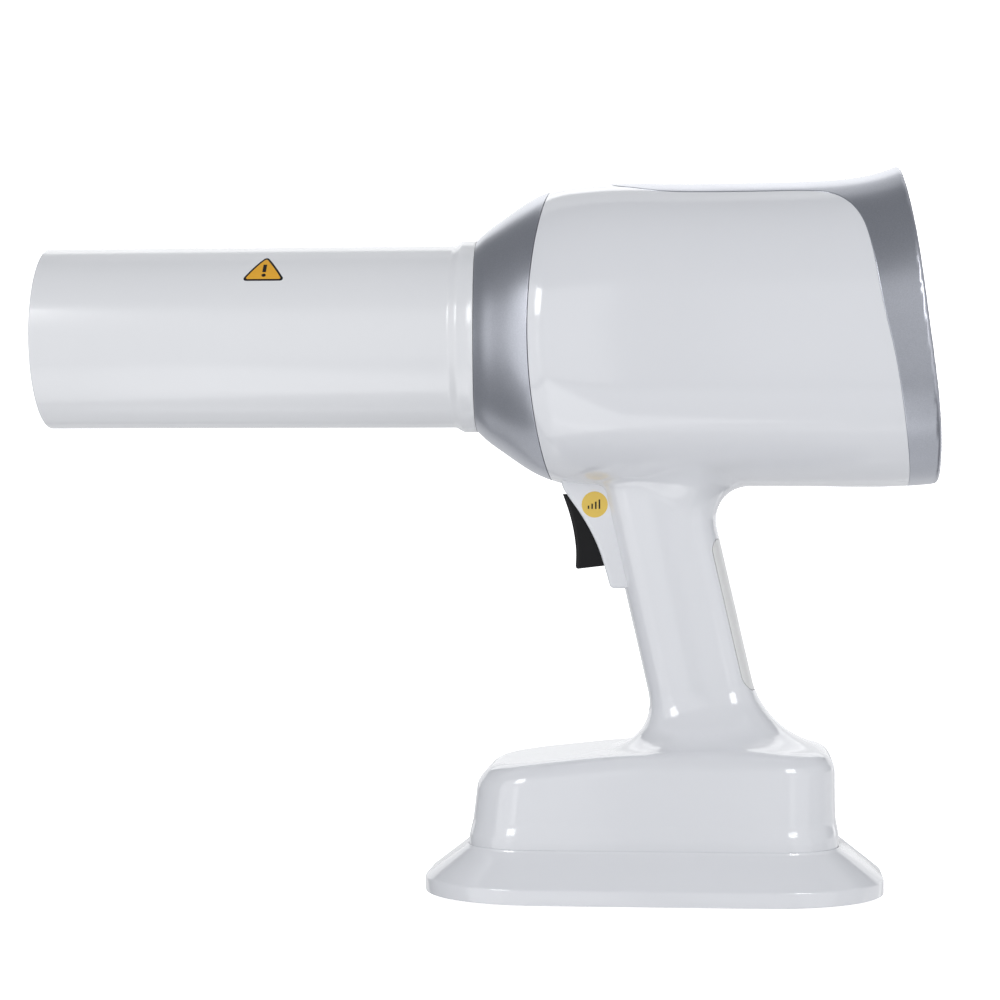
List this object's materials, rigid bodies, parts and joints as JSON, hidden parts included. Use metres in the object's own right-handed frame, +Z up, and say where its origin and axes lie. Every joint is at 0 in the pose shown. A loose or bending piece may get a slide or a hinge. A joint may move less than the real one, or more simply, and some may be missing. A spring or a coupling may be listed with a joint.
{
  "type": "handheld intraoral x-ray unit",
  "caption": "Pistol-grip dental x-ray source with a beam cone, drum body, trigger and a flared charging stand that it lifts off.",
  "frame": {"origin": "centre of the flat underside of the charging stand's anti-slip pad", "axes": "+Z up; the beam leaves along -X; the rear control panel faces +X; the object's left side faces -Y"},
  "size_m": [0.3257, 0.1068, 0.2609],
  "materials": {
    "white_plastic": "glossy moulded",
    "cone_white": "glossy moulded",
    "silver_paint": "satin metallic paint",
    "trigger_black": "glossy",
    "black_plastic": "fine texture",
    "key_rubber": "soft matte",
    "fascia": "gloss film",
    "screen_glass": "polished",
    "display": "smooth",
    "strap_rubber": "soft satin",
    "pad_rubber": "matte",
    "lead": "dull",
    "aluminium": "machined",
    "steel": "brushed",
    "copper": "turned",
    "tube_glass": "clear",
    "winding": "enamelled wire",
    "board": "solder mask",
    "cell_wrap": "shrink wrap",
    "gold": "plated"
  },
  "bodies": {
    "stand": {"stand_shell": "white_plastic", "stand_bottom_plate": "black_plastic", "anti_slip_pad": "pad_rubber", "stand_board": "board", "charge_inlet": "steel", "stand_contact_1": "gold", "stand_contact_2": "gold"},
    "handset": {"anode": "copper", "battery_board": "board", "battery_cell_1": "cell_wrap", "battery_cell_2": "cell_wrap", "battery_cell_3": "cell_wrap", "battery_cell_4": "cell_wrap", "battery_tray": "black_plastic", "beam_filter": "aluminium", "buzzer": "black_plastic", "cathode": "steel", "collimator_disc": "lead", "cone_lead_liner": "lead", "cone_tube": "cone_white", "control_board": "board", "control_panel": "fascia", "display_module": "display", "display_window": "screen_glass", "driver_board": "board", "filter_holder": "black_plastic", "front_collar": "silver_paint", "grip_harness": "black_plastic", "grip_strap": "strap_rubber", "handset_base_plate": "black_plastic", "handset_contact_1": "gold", "handset_contact_2": "gold", "microswitch": "black_plastic", "port_lead_ring": "lead", "rear_bezel": "silver_paint", "shell_left": "white_plastic", "shell_right": "white_plastic", "shell_screw_1": "steel", "shell_screw_2": "steel", "shell_screw_3": "steel", "shell_screw_4": "steel", "tank_cover": "aluminium", "tank_housing": "aluminium", "transformer_core": "steel", "transformer_winding": "winding", "trigger_bezel": "white_plastic", "trigger_pin": "steel", "trigger_spring": "steel", "tube_envelope": "tube_glass"},
    "trigger": {"trigger": "trigger_black"},
    "microswitch_lever": {"microswitch_lever": "steel"},
    "key_power": {"key_power": "key_rubber"},
    "key_up": {"key_up": "key_rubber"},
    "key_down": {"key_down": "key_rubber"},
    "key_mode": {"key_mode": "key_rubber"},
    "key_patient": {"key_patient": "key_rubber"}
  },
  "joints": [
    {"name": "handset_lift", "type": "slide", "parent": "stand", "child": "handset", "axis": [0, 0, 1], "range_m": [0, 0.04]},
    {"name": "trigger_pull", "type": "hinge", "parent": "handset", "child": "trigger", "pos_m": [-0.019, 0, 0.1385], "axis": [0, -1, 0], "range_deg": [0, 9], "stiffness_Nm_per_rad": 0.12, "springref_deg": -11.46, "deforming": ["trigger_spring"]},
    {"name": "switch_lever_turn", "type": "hinge", "parent": "handset", "child": "microswitch_lever", "pos_m": [-0.0064, 0, 0.1275], "axis": [0, -1, 0], "range_deg": [0, 20]},
    {"name": "key_power_press", "type": "slide", "parent": "handset", "child": "key_power", "axis": [-0.9923, 0, -0.124], "range_m": [0, 0.001], "stiffness_N_per_m": 300, "springref_m": -0.002},
    {"name": "key_up_press", "type": "slide", "parent": "handset", "child": "key_up", "axis": [-0.9923, 0, -0.124], "range_m": [0, 0.001], "stiffness_N_per_m": 300, "springref_m": -0.002},
    {"name": "key_down_press", "type": "slide", "parent": "handset", "child": "key_down", "axis": [-0.9923, 0, -0.124], "range_m": [0, 0.001], "stiffness_N_per_m": 300, "springref_m": -0.002},
    {"name": "key_mode_press", "type": "slide", "parent": "handset", "child": "key_mode", "axis": [-0.9923, 0, -0.124], "range_m": [0, 0.001], "stiffness_N_per_m": 300, "springref_m": -0.002},
    {"name": "key_patient_press", "type": "slide", "parent": "handset", "child": "key_patient", "axis": [-0.9923, 0, -0.124], "range_m": [0, 0.001], "stiffness_N_per_m": 300, "springref_m": -0.002}
  ],
  "couplings": [
    {"joint": "switch_lever_turn", "follows": "trigger_pull", "ratio": 2.2}
  ]
}
